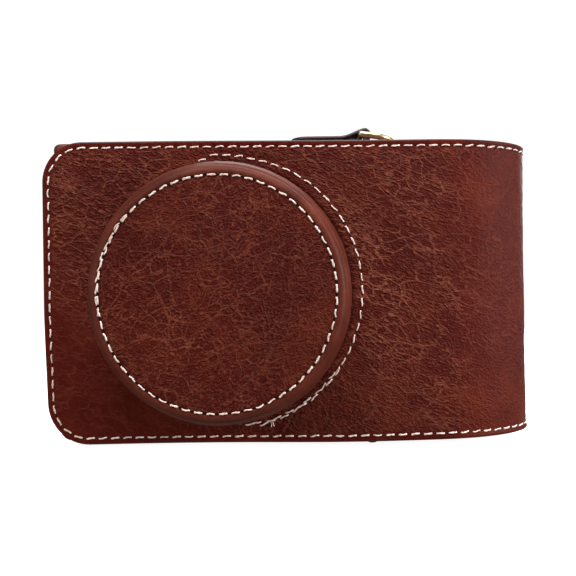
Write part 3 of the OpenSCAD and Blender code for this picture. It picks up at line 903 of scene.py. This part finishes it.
def build_lens_face():
    """The disc on the lens cover: a low crown, the groove its stitches lie in, and a rounded edge."""
    top = LENS_OUT
    low = LENS_OUT - LEATHER
    crown, crown_r = 0.42, 24.2
    profile = [(0.0, top + crown)]
    profile += [(r, top + crown * (1 - (r / crown_r) ** 2)) for r in np.linspace(1.2, crown_r, 30)]
    profile += [(24.6, top - 0.12), (25.0, top - 0.26), (25.35, top - 0.12)]
    profile += [(25.6 + 1.46 * math.sin(t), low - 0.02 + 1.28 * math.cos(t))
                for t in np.linspace(0, math.pi / 2, 14)]
    slots = [0 if r < 25.3 else 1 for r, _ in profile]
    profile += [(26.4, low - 0.05), (24.0, low), (12.0, low), (0.0, low)]
    slots += [2] * (len(profile) - len(slots))

    def relief(a, radius, out):
        x, z = radius * np.cos(a), radius * np.sin(a)
        points = np.column_stack([x.ravel(), out.ravel() * 0.1, z.ravel()])
        waves = 0.13 * fbm(points, 0.06, 3, 7.0) + 0.06 * fbm(points, 0.28, 3, 9.0)
        inner = 1 - smooth(radius, 20.5, 24.4)
        pull = -0.06 * bell(radius, FACE_STITCH_R, 0.6) * np.cos(FACE_STITCHES * a)
        return 0, np.where(out > low + 0.2, waves.reshape(a.shape) * inner + pull, 0)

    obj = revolve("lens_cover_face", profile, (M_FACE, M_RIM, M_FLESH), slots, relief)
    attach(obj, "cover")
    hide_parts("lens_face")


# ---- tray ----
def edge_distance(p, closed):
    """Distance from points to the nearest side of a closed outline."""
    best = np.full(len(p), 1e9)
    for q, w in zip(closed[:-1], closed[1:]):
        d = w - q
        t = np.clip(((p - q) @ d) / max(d @ d, 1e-9), 0, 1)
        best = np.minimum(best, np.linalg.norm(p - (q + t[:, None] * d), axis=1))
    return best


def inside(p, closed):
    """Which points lie inside a closed outline, by the sides that a line to the right crosses."""
    hit = np.zeros(len(p), bool)
    for q, w in zip(closed[:-1], closed[1:]):
        across = (q[1] > p[:, 1]) != (w[1] > p[:, 1])
        with np.errstate(divide="ignore", invalid="ignore"):
            x = (w[0] - q[0]) * (p[:, 1] - q[1]) / (w[1] - q[1]) + q[0]
        hit ^= across & (p[:, 0] < x)
    return hit


def outline_sheet(name, outline, face_z, sign, thickness, materials, seed, edge, holes=()):
    """A thick level sheet cut to any outline, with rolled edges and round (x, y, r) holes.

    Its grain side is at face_z and looks up where sign is 1, or down where it is -1.
    """
    step, edge_band, crown = 1.3, 0.45, 0.075
    rings = (0.12, 0.3, 0.6, 1.0, 1.6, 2.4)
    closed = np.vstack([outline, outline[:1]])
    s = distances(closed)
    count = int(s[-1] / (step * 0.6))
    loop = follow(closed, s, np.arange(count) * s[-1] / count)
    ahead = np.roll(loop, -1, 0) - np.roll(loop, 1, 0)
    ahead /= np.linalg.norm(ahead, axis=1)[:, None]
    inward = np.column_stack([-ahead[:, 1], ahead[:, 0]])
    inner = []
    for r in rings:
        ring = loop + inward * r
        inner.append(ring[inside(ring, closed) & (edge_distance(ring, closed) > 0.93 * r)])
    grid = brick_grid(outline.min(0), outline.max(0), step)
    grid = grid[inside(grid, closed)]
    grid = grid[edge_distance(grid, closed) > rings[-1] + 0.5 * step]
    hole_loops, hole_rings = [], []
    for hx, hy, hr in holes:
        grid = grid[np.hypot(grid[:, 0] - hx, grid[:, 1] - hy) > hr + 0.8]
        hole_loops.append(circle(hx, hy, hr, max(24, int(TAU * hr / (step * 0.5)))))
        hole_rings.append(circle(hx, hy, hr + 0.3, 40))
    parts = [loop] + hole_loops + inner + hole_rings + [grid]
    uv, tris, loops = triangulate(parts, 1 + len(hole_loops))
    middle = uv[tris].mean(1)
    good = inside(middle, closed)
    near = edge_distance(uv, closed)
    for hx, hy, hr in holes:
        good &= np.hypot(middle[:, 0] - hx, middle[:, 1] - hy) > hr * 0.995
        near = np.minimum(near, np.maximum(np.hypot(uv[:, 0] - hx, uv[:, 1] - hy) - hr, 0) + (edge - 0.3))
    tris = tris[good]
    roll = rolled(near, edge)
    spots = np.column_stack([uv, np.zeros(len(uv))])
    waves = 0.07 * fbm(spots, 0.07, 3, seed) * smooth(near, 1, 4) - crown * (1 - smooth(near, 0.5, 6))
    top = np.column_stack([uv, face_z - sign * (roll - waves)])
    under = np.column_stack([uv, face_z - sign * (thickness - roll * 0.75)])
    return thick_mesh(name, top, under, tris, near[tris].max(1) < edge_band, loops, materials)


def tray_outline(node, round_front):
    """The CAD outline of the tray's top or bottom, seen from above, anticlockwise."""
    low, high = box(node)
    half = -low[1]
    step_x = HINGE_X - 0.4
    round_back = 0.8
    return np.vstack([
        arc(low[0] + round_front, low[1] + round_front, round_front, round_front, 2, 3, 9),
        arc(HINGE_X, 0, high[0] - HINGE_X, half, -1, 1, 49),
        [(step_x, half), (step_x, high[1])],
        arc(low[0] + round_back, high[1] - round_back, round_back, round_back, 1, 2, 5)])


def roll_into_wall(obj):
    """Turns the left edge of the bottom up a quarter circle to meet the left wall."""
    spots = np.empty(len(obj.data.vertices) * 3)
    obj.data.vertices.foreach_get("co", spots)
    spots = spots.reshape(-1, 3)
    depth = -BOTTOM[0][2]
    k = np.clip((BOTTOM[0][0] + depth - spots[:, 0] / MM) / depth, 0, 0.98)
    spots[:, 2] *= np.sqrt(1 - k ** 2)
    obj.data.vertices.foreach_set("co", spots.ravel())
    obj.data.update()


def build_tray():
    top_t = TOP[1][2] - box("top_lining")[0][2]
    top = outline_sheet("top_skin", tray_outline("top_leather", 2.2), TOP[1][2], 1, top_t,
                        (M_SMOOTH, M_SMOOTH, M_SUEDE), seed=12, edge=1.3)
    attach(top, "tray")
    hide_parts("top_leather", "top_board", "top_lining")
    screw = box("camera_screw")
    head_hole = (0.0, 0.0, (screw[1][0] - screw[0][0]) / 2 + 0.4)
    bottom = outline_sheet("bottom_skin", tray_outline("bottom_leather", 0.8), BOTTOM[0][2], -1, LEATHER,
                           (M_SMOOTH, M_SMOOTH, M_FLESH), seed=13, edge=0.6, holes=[head_hole])
    roll_into_wall(bottom)
    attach(bottom, "tray")
    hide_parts("bottom_leather")


def build_left_wall():
    """End wall that turns in behind the cover's free edge."""
    low, high = LEFT
    turn_r = 1.6
    depth = high[1] - low[1] - turn_r
    strip = high[0] - low[0] - turn_r
    turn_len = turn_r * math.pi / 2

    def place(uv, d):
        s, z = uv[:, 0], uv[:, 1]
        a = np.clip((s - strip) / turn_r, 0, math.pi / 2)
        on_strip = s < strip
        on_wall = s > strip + turn_len
        x = np.where(on_strip, high[0] - s, low[0] + turn_r - (turn_r - d) * np.sin(a))
        y = np.where(on_strip, low[1] + d, low[1] + turn_r - (turn_r - d) * np.cos(a))
        x = np.where(on_wall, low[0] + d, x)
        y = np.where(on_wall, low[1] + turn_r + (s - strip - turn_len), y)
        return np.column_stack([x, y, z])

    def relief(uv, inset, hole_in, points):
        return 0.05 * fbm(points, 0.1, 3, 21.0) * smooth(inset, 0.5, 3)

    obj = sheet("left_wall_leather", (0, low[2]), (strip + turn_len + depth, high[2]), (0.4,) * 4, place,
                LEATHER - 0.02, relief, (M_SMOOTH, M_EDGE, M_FLESH), rings=(0, 0.15, 0.4, 0.8), step=1.3,
                ring_step=1.0, edge=0.35)
    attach(obj, "tray")
    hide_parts("left_leather")


# ---- tab ----
def build_tab():
    """A leather strip folded round the ring's bar and sewn down on itself."""
    low, high = TAB
    ring_axis = next(j for j in frame["joints"] if j["name"] == "ring_swing")["pos_m"]
    cx, cz = ring_axis[0] / MM, ring_axis[2] / MM
    width = high[1] - low[1]
    t = TAB_T
    r_out = high[0] - cx
    z0 = low[2]
    z_top = z0 + 2 * t
    wide, tall = 1.36, 1.05
    # The fold's outer surface: along its underside, round the loop, down to its foot and back along the top
    path = [(x, z0) for x in np.linspace(low[0], cx, 31)]
    path += [(cx + wide * r_out * math.sin(a), cz + 0.1 - tall * r_out * math.cos(a))
             for a in np.linspace(0.08, math.radians(128) + 0.42, 40)]
    last, foot = path[-1], (cx - 2.2 * r_out, z_top + 0.1)
    for k in np.arange(1, 13) / 12:
        fall = 0.35 * k + 0.65 * k * k * (3 - 2 * k)
        path.append((last[0] + (foot[0] - last[0]) * k, last[1] + (foot[1] - last[1]) * fall))
    path += [(foot[0] + (low[0] - foot[0]) * k, z_top) for k in np.arange(1, 25) / 24]
    path = np.array(path)
    s = distances(path)

    def place(uv, depth):
        u = uv[:, 0]
        x, z = follow(path, s, u).T
        dx, dz = (follow(path, s, u + 0.35) - follow(path, s, u - 0.35)).T
        norm = np.hypot(dx, dz)
        return np.column_stack([x - dz / norm * depth, low[1] + uv[:, 1], z + dx / norm * depth])

    def relief(uv, inset, hole_in, points):
        return 0.03 * fbm(points, 0.3, 3, 30.0) * smooth(inset, 0.4, 1.5)

    obj = sheet("strap_tab_leather", (0, 0), (s[-1], width), (width / 2 - 0.1,) * 4, place, t - 0.03,
                relief, (M_DARK_LEATHER, M_EDGE, M_DARK_LEATHER), rings=(0, 0.1, 0.25, 0.5, 0.9), step=0.6,
                ring_step=0.5, edge=0.4)
    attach(obj, "tray")
    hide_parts("strap_tab")
    row_low, row_high = box("tab_stitches")
    uv, direction, pitch = along_loop(rounded_loop(row_low[:2], row_high[:2], (0.8,) * 4, 0.25, 0.2), 2.2)

    def on_top(p, depth):
        return np.column_stack([p, z_top - 0.1 - depth])

    frames = frames_on(on_top, uv, direction, 5.0)
    row = thread_mesh("tab_thread", frames, pitch * STITCH_SHARE, 8, 0.16, 0.13, 0.1)
    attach(row, "tray")
    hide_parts("tab_stitches")


# ---- CAD nodes that stay ----
def finish_frame():
    looks = (
        (M_SUEDE, ("lens_lining", "back_lining", "bottom_lining", "left_lining")),
        (M_BOARD, ("lens_board", "back_board", "bottom_board", "left_board")),
        (M_STEEL, ("upper_magnet", "lower_magnet", "upper_keeper", "lower_keeper", "camera_screw",
                   "screw_washer")),
        (M_BRASS, ("strap_ring",)),
        (M_DARK_METAL, ("base_stud",)),
    )
    for material, names in looks:
        for name in names:
            materials = frame["nodes"][name].data.materials
            materials.clear()
            materials.append(material)


# ---- stage, light and camera ----
def build_stage():
    """A pale floor, level in the picture, that rises softly into a backdrop. The base stud touches it."""
    stud = box("base_stud")
    touch_x = (stud[0][0] + stud[1][0]) / 2
    touch_z = stud[0][2]
    tilt = math.radians(ROLL)
    n = Nodes("pale_floor")
    speck = n.noise(n.millimetres(), 0.01, 2.0)
    material = n.finish(Base_Color=n.mix(speck, (0.8, 0.8, 0.8), (0.84, 0.84, 0.84)), Roughness=0.9,
                        Specular_IOR_Level=0.05, Emission_Color=(1, 1, 1, 1), Emission_Strength=0.93)
    half, back, front, bend_r, tall = 4000, 1500, -1500, 600, 2600
    rows = [(front, 0.0), (back, 0.0)]
    rows += [(back + bend_r * math.sin(a), bend_r - bend_r * math.cos(a))
             for a in np.linspace(0.1, math.pi / 2, 14)]
    rows += [(back + bend_r, tall)]
    verts = []
    for y, z in rows:
        for x in (-half, half):
            dx = x - touch_x
            verts.append((touch_x + dx * math.cos(tilt), y, touch_z + z - dx * math.sin(tilt)))
    faces = [(2 * i, 2 * i + 1, 2 * i + 3, 2 * i + 2) for i in range(len(rows) - 1)]
    floor = new_mesh("floor", verts, faces, [material])
    floor.visible_diffuse = False
    floor.visible_glossy = False
    floor.visible_shadow = False


def area_light(name, place, aim, size, power, colour=(1, 1, 1)):
    data = bpy.data.lights.new(name, "AREA")
    data.shape = "RECTANGLE"
    data.size, data.size_y = size[0] * MM, size[1] * MM
    data.energy = power
    data.color = colour
    obj = add_object(name, data)
    obj.location = Vector(place) * MM
    obj.rotation_euler = (Vector(aim) - Vector(place)).to_track_quat("-Z", "Y").to_euler()


def build_camera_and_light():
    scene = bpy.context.scene
    data = bpy.data.cameras.new("camera")
    data.sensor_width = 36
    data.lens = 46.25
    data.clip_start = 0.01
    data.clip_end = 50
    camera = add_object("camera", data)
    camera.location = Vector((LENS_X + 15.1, -HALF_D - 177, LENS_Z + 0.65)) * MM
    camera.rotation_euler = (math.pi / 2, math.radians(ROLL), 0)
    scene.camera = camera
    world = bpy.data.worlds.new("studio")
    scene.world = world
    world.use_nodes = True
    colour, strength = world.node_tree.nodes["Background"].inputs[:2]
    colour.default_value = (1, 1, 1, 1)
    strength.default_value = 0.13
    middle = (0, 0, LENS_Z)
    area_light("top_softbox", (10, -150, 360), middle, (380, 260), 1.9)
    area_light("right_softbox", (360, -110, 110), middle, (180, 260), 1.35)
    area_light("left_softbox", (-330, -260, 130), middle, (200, 260), 0.42)
    area_light("floor_bounce", (-10, -190, -190), middle, (320, 200), 0.24, (1, 0.86, 0.78))
    area_light("back_softbox", (160, 420, 260), middle, (500, 400), 2.2)
    scene.view_settings.view_transform = "Standard"


build_camera_and_light()
build_wrap()
build_cover_lining()
build_edge_stitches()
build_lens_wall()
build_lens_face()
build_face_stitches()
build_base_stitches()
build_tray()
build_left_wall()
build_tab()
finish_frame()
build_stage()
